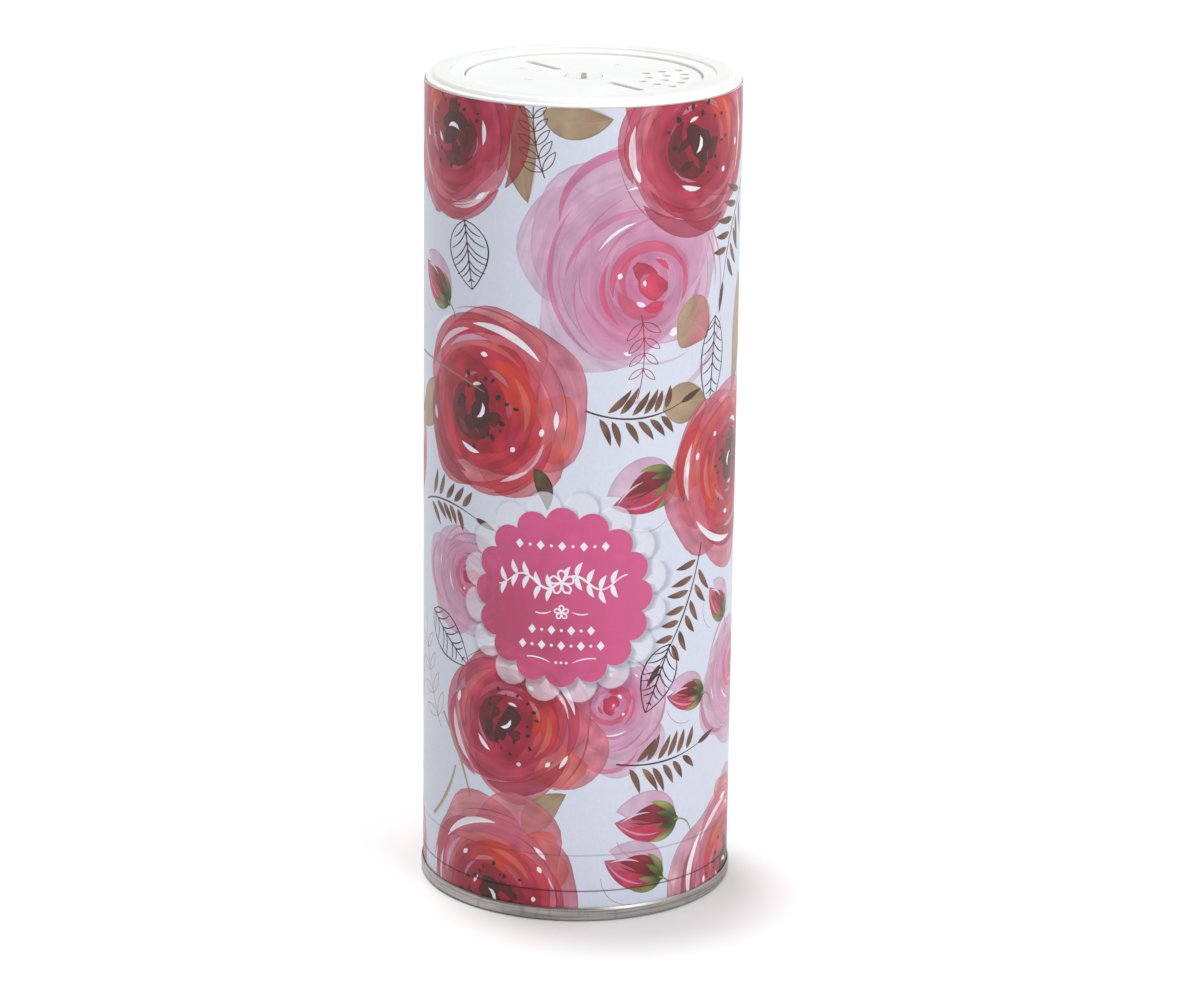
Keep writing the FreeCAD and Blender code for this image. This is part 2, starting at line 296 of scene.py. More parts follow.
def open_rose(sheet, centre, size, seed, heading=0.0, tones=(ROSE, CRIMSON, DEEP_CRIMSON)):
    """A full-blown rose in loose washes: pale margins, a red heart, an orange flush and a dark eye."""
    rng = np.random.default_rng(seed)
    sheet.flowers.append((centre, size))
    pale, red, deep = tones
    eye = toward(centre, size * 0.14, heading + math.pi)
    brush = round_brush(eye, 1.0)
    start = rng.uniform(0, 6)
    for i in range(5):
        hub = toward(centre, size * 0.30, start + i * 2 * math.pi / 5 + rng.uniform(-0.3, 0.3))
        radius = size * rng.uniform(0.62, 0.74)
        outline = blob(hub, radius, rng, 0.10, rng.uniform(0.84, 1.0), rng.uniform(0, 3), 36)
        paint = wash(red, blend(pale, SALMON, rng.uniform(0, 0.6)), eye, size * 1.15, 0.76, seed + i, 0.10)
        sheet.add(outline, paint, rim=0.15, brush=brush)
    low = toward(centre, size * 0.62, heading - 0.8)
    paint = wash(SALMON, ORANGE, low, size * 0.5, 0.55, seed + 9)
    sheet.add(blob(low, size * 0.34, rng, 0.14, 0.8, heading), paint, rim=0.10, brush=brush)
    for i, tone in enumerate((red, pale, red, deep)):
        middle = start + 0.9 + i * math.pi / 2 + rng.uniform(-0.25, 0.25)
        reach = size * rng.uniform(0.76, 0.86)
        span, width = rng.uniform(1.1, 1.9), size * rng.uniform(0.14, 0.22)
        sheet.sweep(eye, reach, middle, span, width, tone, 0.62, 0.16)
        if i % 2 == 0:
            span, width = rng.uniform(0.7, 1.1), size * rng.uniform(0.04, 0.08)
            sheet.sweep(eye, reach * 0.93, middle + 0.25, span, width, WHITE, 0.72)
    for i in range(3):
        hub = toward(eye, size * 0.17, start + 1 + i * 2.1)
        radius = size * rng.uniform(0.50, 0.62)
        outline = blob(hub, radius, rng, 0.10, rng.uniform(0.80, 1.0), rng.uniform(0, 3), 28)
        paint = wash(deep, red, eye, size * 0.75, 0.62, seed + 10 + i, 0.12)
        sheet.add(outline, paint, rim=0.13, brush=brush)
    for i, tone in enumerate((deep, pale, red, deep, SALMON, deep, pale)):
        middle = start + i * 2.4 + rng.uniform(-0.3, 0.3)
        span, width = rng.uniform(1.0, 1.9), size * rng.uniform(0.05, 0.13)
        sheet.sweep(eye, size * (0.38 + 0.06 * i), middle, span, width, tone, rng.uniform(0.35, 0.65), 0.12)
    flush = toward(eye, size * 0.42, heading + 0.1)
    paint = wash(ORANGE, CRIMSON, flush, size * 0.55, 0.82, seed + 30)
    spine = arc(eye, size * 0.45, heading - 0.15, 2.4, 15)
    sheet.add(ribbon(spine, size * 0.30), paint, rim=0.08, brush=brush)
    sheet.sweeps(eye, size, heading,
                 (0.50, -0.3, 1.1, 0.07, SALMON, 0.6), (0.39, 0.5, 0.7, 0.05, PALE_PINK, 0.55))
    for i, tone in enumerate((PALE_PINK, ROSE, PALE_PINK, deep, ROSE)):
        middle = heading + 1.3 + i * 1.1 + rng.uniform(-0.2, 0.2)
        reach, span = size * rng.uniform(0.30, 0.40), rng.uniform(0.5, 1.0)
        sheet.sweep(eye, reach, middle, span, size * rng.uniform(0.03, 0.07), tone, 0.6)

    sheet.sweeps(eye, size, heading, (0.29, math.pi - 0.1, 2.6, 0.19, MAROON, 0.62, 0.2))
    sheet.add(blob(eye, size * 0.19, rng, 0.22, 0.66, heading + 1.1), solid(MAROON, 0.95), rim=0.25)
    for i in range(4):
        dark = toward(eye, size * rng.uniform(0.16, 0.26), heading + 2.6 + i * 0.9)
        outline = blob(dark, size * rng.uniform(0.06, 0.12), rng, 0.22, 0.6, rng.uniform(0, 3), 12)
        sheet.add(outline, solid(MAROON, 0.8), rim=0.2)
    for _ in range(5):
        reach, middle, span = size * rng.uniform(0.5, 0.97), rng.uniform(0, 6.3), rng.uniform(0.5, 1.4)
        sheet.sweep(eye, reach, middle, span, rng.uniform(0.25, 0.5), deep, 0.5)
    sheet.sweeps(eye, size, heading,
                 (0.80, 0.7, 1.0, 0.075, WHITE, 0.92), (0.67, 1.35, 0.8, 0.055, PALE_PINK, 0.85),
                 (0.92, 1.75, 0.45, 0.045, WHITE, 0.88), (0.44, 3.9, 0.55, 0.05, WHITE, 0.97),
                 (0.78, -0.55, 0.24, 0.05, WHITE, 0.9), (0.66, -0.75, 0.12, 0.05, WHITE, 0.9),
                 (0.72, 2.9, 0.2, 0.05, WHITE, 0.9), (0.52, 1.0, 0.16, 0.05, WHITE, 0.9),
                 (0.50, 5.0, 0.12, 0.05, WHITE, 0.9))
    hub = toward(eye, size * 0.08, heading + 2.6)
    sheet.sweeps(hub, size, heading, (0.11, -0.9, 1.7, 0.045, WHITE, 0.97))
    sheet.sweeps(eye, size, heading, (0.23, 1.3, 0.5, 0.035, WHITE, 0.9))
    for i in range(15):
        angle = heading - 2.2 + i * 0.34 + rng.uniform(-0.14, 0.14)
        spot = toward(eye, size * rng.uniform(0.22, 0.42), angle)
        radius, squash = size * rng.uniform(0.018, 0.036), rng.uniform(0.5, 0.9)
        sheet.dot(spot, radius, INK, squash, angle + rng.uniform(-0.5, 0.5))


# Each veil of a soft rose: how far out it lies, at what angle from the heading, and its radius.
VEILS = ((0.36, 2.4, 0.66), (0.46, 3.5, 0.52), (0.16, 3.0, 0.76), (0.36, 0.4, 0.62), (0.36, 4.9, 0.62),
         (0.36, 1.3, 0.60), (0.05, 0.0, 0.72))


def soft_rose(sheet, centre, size, seed, heading=0.0):
    """A pale rose in veils of thin pink, with loose arcs of brushwork round an off-centre swirl."""
    rng = np.random.default_rng(seed)
    sheet.flowers.append((centre, size))
    heart = toward(centre, size * 0.25, heading)
    brush = round_brush(heart, 0.7)
    for i, (reach, angle, radius) in enumerate(VEILS):
        hub = toward(centre, size * reach, heading + angle)
        outline = blob(hub, size * radius, rng, 0.075, rng.uniform(0.88, 1.0), rng.uniform(0, 3), 36)
        paint = wash(SOFT_PINK, PALE_PINK, heart, size * 0.95, 0.6, seed + i, 0.04)
        sheet.add(outline, paint, rim=0.08, brush=brush)
    low = toward(centre, size * 0.42, heading - 0.9)
    sheet.add(blob(low, size * 0.46, rng), bloom(PINK, low, size * 0.48, 0.8), brush=brush)
    hub = toward(centre, size * 0.36, heading + 2.3)
    sheet.sweeps(hub, size, heading, (0.56, 2.7, 2.3, 0.085, PINK, 0.75, 0.1))
    for i in range(11):
        middle = heading + 1.9 + i * 2.3 + rng.uniform(-0.3, 0.3)
        hub = toward(heart, size * 0.10, rng.uniform(0, 6.3))
        span, width = rng.uniform(0.8, 1.7), size * rng.uniform(0.015, 0.06)
        tone, alpha = PALE_PINK if i % 3 == 1 else PINK, rng.uniform(0.4, 0.7)
        sheet.sweep(hub, size * (0.36 + 0.055 * i), middle, span, width, tone, alpha)
    for _ in range(6):
        hub = toward(heart, size * 0.1, rng.uniform(0, 6.3))
        reach, middle = size * rng.uniform(0.4, 0.9), rng.uniform(0, 6.3)
        sheet.sweep(hub, reach, middle, 1.1, rng.uniform(0.25, 0.4), PINK, 0.6)
    paint = wash(PINK, SOFT_PINK, heart, size * 0.4, 0.5, seed + 20)
    sheet.add(blob(heart, size * 0.38, rng, 0.09, 0.92, heading), paint, rim=0.08, brush=brush)
    for row in ((0.33, 2.6, 3.0, 0.10), (0.29, 5.0, 1.7, 0.14), (0.36, 0.8, 1.2, 0.05),
                (0.25, 3.6, 1.8, 0.06), (0.42, 4.0, 1.4, 0.05)):
        hub = toward(heart, size * 0.03, rng.uniform(0, 6.3))
        sheet.sweeps(hub, size, heading, (*row, HOT_PINK, 0.5, 0.08))
    sheet.sweeps(heart, size, heading, (0.21, 0.9, 2.2, 0.08, PALE_PINK, 0.6))
    paint = wash(HOT_PINK, CRIMSON, heart, size * 0.2, 0.92, seed + 21)
    sheet.add(blob(heart, size * 0.16, rng, 0.2, 0.8, heading, 18), paint, rim=0.12)
    sheet.sweeps(heart, size, heading,
                 (0.22, 5.6, 0.9, 0.1, HOT_PINK, 0.85, 0.1), (0.19, 1.6, 0.9, 0.05, HOT_PINK, 0.8),
                 (0.07, 3.6, 2.4, 0.05, PINK, 0.8), (0.52, 2.9, 0.75, 0.026, WHITE, 0.92),
                 (0.80, 2.4, 0.3, 0.02, WHITE, 0.92), (0.50, 5.9, 0.2, 0.07, WHITE, 0.92),
                 (0.62, 0.1, 0.12, 0.06, WHITE, 0.92), (0.27, 3.6, 0.2, 0.045, WHITE, 0.92),
                 (0.20, 5.0, 0.45, 0.04, WHITE, 0.92), (0.62, 5.1, 0.12, 0.03, WHITE, 0.92),
                 (0.05, 4.0, 1.0, 0.03, WHITE, 0.92))


def tan_leaf(sheet, base, tip, width, seed, lean=0.1, dark=DARK_TAN):
    """A flat dry-brushed leaf in tan, with a darker half and a pale rib."""
    length = np.hypot(*(tip - base))
    paint = wash(TAN, dark, base, length * 1.5, 0.95, seed, 0.05)
    sheet.add(leaf(base, tip, width, lean, 14), paint, rim=0.12)
    side = leaf(base, tip, width * 0.5, lean + 0.25 * width / length, 10)
    sheet.add(side, wash(dark, TAN, tip, length, 0.4, seed + 1))
    sheet.stroke(bend(base, tip, lean), 0.25, TAN, 0.9, (1, 0.2))


def fern(sheet, base, tip, lean, pairs, length, seed):
    """A brown frond: a thin stem with pairs of narrow leaflets."""
    rng = np.random.default_rng(seed)
    spine = bend(base, tip, lean, 2 * pairs + 5)
    sheet.stroke(spine, 0.42, DARK_BROWN, 1.0, (1, 0.5))
    for i in range(pairs):
        for side in (-1, 1):
            index = 2 + 2 * i + (side + 1) // 2
            heading = heading_at(spine, index) + side * (1.0 + rng.uniform(-0.15, 0.15))
            reach = length * (1 - 0.32 * i / pairs) * rng.uniform(0.9, 1.08)
            root = toward(spine[index], reach * 0.12, heading)
            paint = wash(BROWN, DARK_BROWN, root, reach * 1.3, 1.0, seed + i, 0.15)
            sheet.add(leaf(root, toward(spine[index], reach, heading), 1.55, -0.05 * side, 8), paint)
    end = toward(spine[-1], length * 0.8, heading_at(spine, -1))
    sheet.add(leaf(spine[-1], end, 1.4, 0.0, 8), solid(DARK_BROWN))


def line_leaf(sheet, base, tip, width, veins):
    """A leaf drawn in line only: outline, midrib and veins."""
    outline = leaf(base, tip, width, 0.0, 14)
    half = len(outline) // 2
    sheet.stroke(outline[:half + 1], 0.40, INK, 0.95, (0.7, 0.7))
    sheet.stroke(np.vstack([outline[half:], outline[:1]]), 0.40, INK, 0.95, (0.7, 0.7))
    spine = bend(base, tip, 0.0, 20)
    sheet.stroke(spine, 0.40, INK, 0.95, (1, 0.6))
    for i in range(veins):
        share = (i + 0.6) / (veins + 0.8)
        index = int(share * 19)
        reach = 0.575 * width * math.sin(math.pi * min(1.0, share + 0.10) ** 0.8) ** 0.85
        for side in (-1, 1):
            end = toward(spine[index], reach, heading_at(spine, index) + side * 0.95)
            sheet.stroke(bend(spine[index], end, -0.10 * side, 5), 0.34, INK, 0.9, (1, 0.5))


def line_sprig(sheet, base, tip, pairs, length, colour, weight):
    """A fine sprig in line: a stem with open leaflets."""
    spine = bend(base, tip, 0.06, 2 * pairs + 4)
    sheet.stroke(spine, weight, colour, 0.9, (1, 1))
    for i in range(pairs):
        root = spine[1 + 2 * i]
        for side in (-1, 1):
            end = toward(root, length * (1 - 0.3 * i / pairs), heading_at(spine, 1 + 2 * i) + side * 0.9)
            for bulge in (0.16, -0.16):
                sheet.stroke(bend(root, end, bulge, 8), weight, colour, 0.85, (0.8, 0.8))


def bud(sheet, centre, size, heading, seed):
    """A closed bud: a pale outer petal, dark folds, pale edges and thin green sepals on a curved stalk."""
    rng = np.random.default_rng(seed)
    ahead = np.array([math.cos(heading), math.sin(heading)])
    left = np.array([-ahead[1], ahead[0]])

    def at(forward, aside):
        return centre + (ahead * (forward - 1) + left * aside) * size

    base, tip = at(0, 0), at(2, 0)
    paint = wash(PALE_PINK, SOFT_PINK, tip, size * 2, 0.6, seed)
    sheet.add(leaf(base, at(2, -0.35), size * 1.2, -0.12, 14), paint, rim=0.15)
    paint = wash(DEEP_CRIMSON, ROSE, base, size * 2.2, 0.95, seed)
    sheet.add(leaf(base, tip, size * 1.02, 0.06, 14), paint, rim=0.15)
    paint = wash(CRIMSON, HOT_PINK, base, size * 1.8, 0.8, seed + 1)
    sheet.add(leaf(base, at(1.75, 0.2), size * 0.6, 0.12), paint, rim=0.12)
    paint = wash(MAROON, DEEP_CRIMSON, base, size * 1.5, 0.9, seed + 3)
    sheet.add(leaf(base, at(1.5, -0.1), size * 0.62, -0.14), paint, rim=0.1)
    sheet.stroke(bend(at(0.5, 0.34), at(1.91, 0.03), 0.12), 0.45, PALE_PINK, 0.8)
    sheet.stroke(bend(at(0.9, -0.3), at(1.8, 0), -0.1), 0.4, WHITE, 0.75)
    sheet.stroke(bend(at(0.4, 0), at(1.5, 0), 0.05), 0.35, MAROON, 0.7)
    for side, reach, width in ((1, 1.15, 0.26), (-1, 1.0, 0.24), (0.35, 0.9, 0.22), (-0.45, 0.7, 0.2)):
        end = at(reach * rng.uniform(0.7, 0.95), side * 0.62)
        paint = wash(DARK_GREEN, GREEN, base, size * 0.9, 0.97, seed + 5, 0.12)
        sheet.add(leaf(at(-0.1, 0), end, size * width, 0.14 * side, 10), paint, rim=0.1)
    sheet.add(blob(base, size * 0.17, rng, 0.1, 0.8, heading, 10), solid(DARK_GREEN, 0.95))
    sheet.stroke(bend(base, at(-0.75, 0.5), 0.2), 0.42, GREEN, 0.95, (1, 0.7))
    sheet.stroke(arc(at(1, 0.2), size * 0.95, heading + 1.2, 1.6, 13), 0.16, ROSE, 0.8, (0.8, 0.8))


BADGE_LOBES = 16


def scallop(centre, radius, lobe_radius, phase=0.0, per_lobe=9):
    """A round badge outline with a scalloped edge."""
    points = []
    half = 0.5 * math.pi + math.pi / BADGE_LOBES - 0.12
    for i in range(BADGE_LOBES):
        middle = phase + i * 2 * math.pi / BADGE_LOBES
        points.append(arc(toward(centre, radius, middle), lobe_radius, middle, 2 * half, per_lobe))
    return np.vstack(points)


def blossom(sheet, centre, size, weight):
    """A small open blossom in line."""
    for i in range(5):
        outline = petal(centre, math.pi / 2 + i * 2 * math.pi / 5, size * 0.2, size)
        sheet.add(outline, solid(BADGE_PINK))
        sheet.stroke(np.vstack([outline, outline[:1]]), weight, WHITE, 0.97, (1, 1))
    sheet.dot(centre, size * 0.2, WHITE)


def badge(sheet, centre):
    """The scalloped badge in two tiers with soft shadows, and plain ornament where a title would be."""
    drop = centre + (0.5, -0.6)
    for grow in (1.5, 1.0, 0.5):
        outline = scallop(drop, 19.7 + grow, 3.9, math.pi / BADGE_LOBES, 5)
        sheet.add(outline, solid(SHADOW, 0.10), glaze=True)
    sheet.add(scallop(centre, 19.7, 3.9, math.pi / BADGE_LOBES), solid(WHITE, 0.62), rim=0.08)
    for grow in (1.2, 0.8, 0.4):
        sheet.add(scallop(drop, 16.3 + grow, 3.6, 0, 5), solid(SHADOW, 0.14), glaze=True)
    paint = wash(BADGE_SHADE, BADGE_PINK, centre + (-14, -10), 30, 1.0, 5, 0.015)
    sheet.add(scallop(centre, 16.3, 3.6, 0, 11), paint)
    across = np.linspace(-14.0, 14.0, 45)
    vine = np.column_stack([across, 3.4 + 1.5 * np.sin(across * 0.56)]) + centre
    sheet.stroke(vine, 0.55, WHITE, 0.97, (0.5, 0.5))
    for i in range(3, 42, 4):
        for up in (-1, 1):
            end = vine[i] + (1.2 if i > 22 else -1.2, up * 3.1)
            sheet.add(leaf(vine[i], end, 1.15, 0.12 * up, 8), solid(WHITE, 0.95))
    blossom(sheet, centre + (0, 3.4), 2.6, 0.42)
    diamond = ((0.85, 0), (0, 1.05), (-0.85, 0), (0, -1.05))
    for height, count, step in ((11.4, 9, 2.3), (-7.2, 7, 2.1), (-10.6, 9, 2.1)):
        for i in range(count):
            middle = centre + ((i - (count - 1) / 2) * step, height)
            if i % 2:
                sheet.dot(middle, 0.34, WHITE)
            else:
                sheet.add(middle + diamond, solid(WHITE, 0.95))
    blossom(sheet, centre + (0, -3.2), 1.5, 0.3)
    for side in (-1, 1):
        upper = bend(centre + (side * 2.2, -3.0), centre + (side * 5.6, -3.4), -0.12 * side, 7)
        lower = bend(centre + (side * 2.4, -14.4), centre + (side * 7.4, -13.4), 0.08 * side, 7)
        sheet.stroke(upper, 0.32, WHITE, 0.95, (0.3, 0.9))
        sheet.stroke(lower, 0.3, WHITE, 0.95, (0.3, 0.9))
    for across in (-1.1, 0, 1.1):
        sheet.dot(centre + (across, -14.4), 0.3, WHITE)


def half_pattern(sheet, turn, seed, with_badge):
    """The flowers, leaves and buds of half the label, turned about the can by an angle in degrees."""
    def at(degrees, height):
        return np.array([math.radians(degrees + turn) * LABEL_RADIUS, height])

    line_sprig(sheet, at(-60, 38), at(-76, 64), 4, 6.5, TAN, 0.3)
    tan_leaf(sheet, at(-62, 116), at(-84, 104), 9.0, seed)
    soft_rose(sheet, at(-47, 73), 13.0, seed + 1, 0.6)
    soft_rose(sheet, at(77, 47), 15.5, seed + 2, 1.1)
    soft_rose(sheet, at(17, 145), 25.5, seed + 3, -0.7)
    tan_leaf(sheet, at(-22, 179), at(-19, 157.5), 8.0, seed + 4, -0.06)
    tan_leaf(sheet, at(-14, 177), at(11, 175.5), 7.5, seed + 5, -0.10)
    line_sprig(sheet, at(-13, 163), at(-17, 181), 5, 5.0, DARK_BROWN, 0.28)
    tan_leaf(sheet, at(37, 133), at(52, 127), 12.0, seed + 6, 0.06, ROSE)
    tan_leaf(sheet, at(80, 138), at(72, 112), 9.5, seed + 7)
    line_leaf(sheet, at(57, 131), at(54, 110), 8.0, 8)
    line_sprig(sheet, at(22, 134), at(21, 116), 4, 5.0, DEEP_CRIMSON, 0.22)
    open_rose(sheet, at(50, 171), 22.5, seed + 8, 0.6)
    fern(sheet, at(84, 158), at(62, 138), -0.10, 5, 9.0, seed + 9)
    tan_leaf(sheet, at(31, 113), at(52, 113.5), 9.0, seed + 10, 0.05)
    fern(sheet, at(2, 114), at(39, 114), -0.10, 6, 8.0, seed + 11)
    line_leaf(sheet, at(-46, 152), at(-42, 137.5), 11.5, 7)
    open_rose(sheet, at(-57, 173), 22.0, seed + 12, 2.4)
    bud(sheet, at(-65, 137), 6.6, 2.6, seed + 13)
    open_rose(sheet, at(-33, 114), 22.5, seed + 14, 0.5, (ROSE, RED, DEEP_CRIMSON))
    sheet.stroke(bend(at(-86, 119), at(-36, 116), 0.06, 13), 0.5, DARK_TAN, 0.9, (1, 0.6))
    fern(sheet, at(-74, 87.5), at(-40, 88), 0.10, 5, 7.2, seed + 15)
    line_leaf(sheet, at(-66, 64), at(-43, 54.5), 9.0, 7)
    bud(sheet, at(24, 95.5), 7.6, 3.5, seed + 16)
    open_rose(sheet, at(66, 96), 21.0, seed + 17, 3.6, (ROSE, RED, DEEP_CRIMSON))
    soft_rose(sheet, at(15, 46), 13.5, seed + 18, 2.0)
    open_rose(sheet, at(-21, 44), 19.0, seed + 19)
    fern(sheet, at(51, 82), at(32, 57), 0.05, 6, 7.6, seed + 20)
    line_leaf(sheet, at(36, 61), at(26, 46.5), 8.5, 7)
    bud(sheet, at(44, 48.5), 5.4, 3.0, seed + 21)
    bud(sheet, at(63, 67), 5.4, 2.3, seed + 22)
    fern(sheet, at(15, 35.5), at(51, 36.5), -0.06, 6, 8.2, seed + 23)
    sheet.stroke(bend(at(-66, 17), at(-50, 31), -0.08), 0.9, TAN, 0.95, (1, 0.6))
    sheet.stroke(bend(at(-58, 42), at(-42, 25), 0.06), 0.8, TAN, 0.95, (1, 0.6))
    tan_leaf(sheet, at(-18, 19), at(-3, 29), 6.5, seed + 24)
    open_rose(sheet, at(-31, 7), 20.5, seed + 25, 1.3)
    bud(sheet, at(27, 21.5), 7.3, 3.05, seed + 26)
    bud(sheet, at(22, 11), 7.0, 2.75, seed + 27)
    open_rose(sheet, at(72, 7), 20.5, seed + 28, 2.2, (PALE_PINK, ROSE, CRIMSON))
    if with_badge:
        paint = wash(DARK_GREEN, DARK_BROWN, at(-16, 101), 6, 0.9, 2)
        sheet.add(leaf(at(-16, 101), at(-11, 92), 3.6, 0.1), paint, rim=0.2)
        badge(sheet, at(-5.5, 73.0))
    else:
        soft_rose(sheet, at(-6, 76), 17.0, seed + 29, 0.9)
        bud(sheet, at(-2, 53), 6.5, 4.4, seed + 30)


def full_print():
    """The whole print. The back is drawn at both ends of the flat label, so that it meets itself."""
    sheet = Sheet()
    half_pattern(sheet, 180, 300, False)
    half_pattern(sheet, -180, 300, False)
    half_pattern(sheet, 0, 100, True)
    return sheet




# ---- the label as a mesh: one sheet of paper wrapped once round, lapped at the back ----

MM = 0.001
SHEET_THICKNESS = 0.14
LAP_ANGLE = math.radians(185.5)
LAP_START = math.radians(174.5)
LAP_RISE = 0.15
LAP_EASE = math.radians(0.9)
# Each crease: its height, its depth and how much painted shade darkens the print along it.
CREASES = ((6.8, 0.09, 0.45), (15.0, 0.04, 0.16))
CREASE_HALF_WIDTH = 0.28
# Ink is deeper than it is drawn, because the varnish lays a pale veil over it.
INK_GAIN = 0.98
VEIL = 0.028


def linear(colour):
    """Display colours as linear light."""
    return np.where(colour <= 0.04045, colour / 12.92, ((colour + 0.055) / 1.055) ** 2.4)


def sheet_radius(points):
    """The radius of the label's face at each point: it steps up over the lap and dips at the creases."""
    angle = points[:, 0] / LABEL_RADIUS
    radius = LABEL_RADIUS + LAP_RISE * ease((angle - LAP_START) / LAP_EASE)
    for height, depth, _ in CREASES:
        radius = radius - depth * (1 - ease(np.abs(points[:, 1] - height) / CREASE_HALF_WIDTH))
    return radius


def wrapped(points, inset=0.0):
    """Points of the flat label as places in space, in metres."""
    angle = points[:, 0] / LABEL_RADIUS
    radius = sheet_radius(points) - inset
    return np.column_stack([radius * np.sin(angle), -radius * np.cos(angle), points[:, 1]]) * MM


def facing(points):
    """The outward normals of the label's face."""
    angle = points[:, 0] / LABEL_RADIUS
    step = 0.02
    slope = (sheet_radius(points + (0, step)) - sheet_radius(points - (0, step))) / (2 * step)
    turn = (sheet_radius(points + (step, 0)) - sheet_radius(points - (step, 0))) / (2 * step)
    x, y = np.sin(angle) - turn * np.cos(angle), -np.cos(angle) - turn * np.sin(angle)
    normal = np.column_stack([x, y, -slope])
    return normal / np.linalg.norm(normal, axis=1, keepdims=True)


def crease_guides(left, right):
    """Long thin loops along the creases, so that the mesh follows them."""
    across = np.linspace(left, right, 110)
    loops = []
    for height, _, _ in CREASES:
        for share in (1.0, 0.5, 0.12):
            edge = np.full(len(across), share * CREASE_HALF_WIDTH)
            upper = np.column_stack([across, height + edge])
            lower = np.column_stack([across, height - edge])
            loops.append(np.vstack([upper, lower[::-1]]))
    return loops


def grid(low, high, step):
    """A grid of points between two corners, with about the given steps."""
    rows = [np.linspace(a, b, max(2, round((b - a) / s) + 1)) for a, b, s in zip(low, high, step)]
    return np.stack(np.meshgrid(*rows), -1).reshape(-1, 2)


def triangulate(points, loops, grain):
    """Triangles over points, with every loop kept as edges. Points closer than the grain are merged."""
    edges = []
    count = len(points)
    for loop in loops:
        edges += [(count + i, count + (i + 1) % len(loop)) for i in range(len(loop))]
        count += len(loop)
    spots = [Vector(p) for p in np.vstack([points, *loops]).tolist()]
    found = delaunay_2d_cdt(spots, edges, [], 0, grain, False)
    return np.array([tuple(p) for p in found[0]]), np.array(found[2])


def winding(outline, points):
    """How many times an outline turns round each point."""
    ahead = np.roll(outline, -1, axis=0)
    x, y = points[:, :1], points[:, 1:]
    up = (outline[:, 1] <= y) & (ahead[:, 1] > y)
    down = (outline[:, 1] > y) & (ahead[:, 1] <= y)
    run = ahead - outline
    side = run[:, 0] * (y - outline[:, 1]) - (x - outline[:, 0]) * run[:, 1]
    return (up & (side > 0)).sum(axis=1) - (down & (side < 0)).sum(axis=1)


PAPER_STREAKS = 0.05


def paint_corners(sheet, corners):
    """The ink, with painted shade along the creases, and the brush marks at the three corners of every
    triangle.
    """
    ink = np.tile(PAPER, (len(corners), 3, 1))
    brush = np.concatenate([corners, np.full((len(corners), 3, 1), PAPER_STREAKS)], axis=2)
    middle = corners.mean(axis=1)
    order = np.argsort(middle[:, 0])
    ranked = middle[order, 0]
    for layer in sheet.layers:
        low, high = layer.outline.min(axis=0), layer.outline.max(axis=0)
        near = order[np.searchsorted(ranked, low[0]):np.searchsorted(ranked, high[0])]
        near = near[(middle[near, 1] > low[1]) & (middle[near, 1] < high[1])]
        inside = near[winding(layer.outline, middle[near]) != 0] if len(near) else near
        if not len(inside):
            continue
        spots = corners[inside].reshape(-1, 2)
        ink[inside] = layer.colour(spots, ink[inside].reshape(-1, 3)).reshape(-1, 3, 3)
        if layer.brush:
            brush[inside] = layer.brush(spots).reshape(-1, 3, 3)
    # Painted shade along each crease: the ink there is darkened.
    for height, _, shade in CREASES:
        ink *= 1 - shade * (1 - ease(np.abs(corners[:, :, 1:] - height) / CREASE_HALF_WIDTH))
    return ink, brush


def along_border(points, low, high):
    """How far along the border of the flat label its border points lie, from the lower left corner."""
    width, height = high - low
    gap, rest = points - low, high - points
    sides = np.abs(np.column_stack([gap[:, 1], rest[:, 0], rest[:, 1], gap[:, 0]]))
    run = np.column_stack([gap[:, 0], width + gap[:, 1], width + height + rest[:, 0],
                           2 * width + height + rest[:, 1]])
    return run[np.arange(len(points)), sides.argmin(axis=1)]


def stand(name, data):
    """A new object in the scene."""
    piece = bpy.data.objects.new(name, data)
    bpy.context.scene.collection.objects.link(piece)
    return piece


def clipped(layers, low, high):
    """The layers that reach the label, with their outlines kept within it."""
    kept = [layer for layer in layers
            if np.all(layer.outline.min(axis=0) < high) and np.all(layer.outline.max(axis=0) > low)]
    for layer in kept:
        layer.outline = np.clip(layer.outline, low, high)
    return kept


def print_map(sheet, low, high):
    """The flat label as points and triangles that follow every outline of the print."""
    points = grid(low, high, (2.0, 5.0))
    fine = grid(low, high, (2.15, 2.15))
    close = np.zeros(len(fine), bool)
    for centre, size in sheet.flowers:
        close |= np.hypot(*(fine - centre).T) < size * 1.05
    guides = [np.clip(guide, low, high) for layer in sheet.layers for guide in layer.guides()]
    return triangulate(np.vstack([points, fine[close]]), guides + crease_guides(low[0], high[0]), 0.02)


def edge_normals(middle, low, high):
    """The normals of the sheet's cut edges: down, up, or along the wrap at its two ends."""
    angle = middle[:, 0] / LABEL_RADIUS
    normals = np.zeros((len(middle), 3))
    normals[middle[:, 1] < low[1] + 1e-3, 2] = -1
    normals[middle[:, 1] > high[1] - 1e-3, 2] = 1
    for bound, sign in ((low[0], -1), (high[0], 1)):
        end = np.abs(middle[:, 0] - bound) < 1e-3
        normals[end] = np.column_stack([np.cos(angle), np.sin(angle), 0 * angle])[end] * sign
    return normals


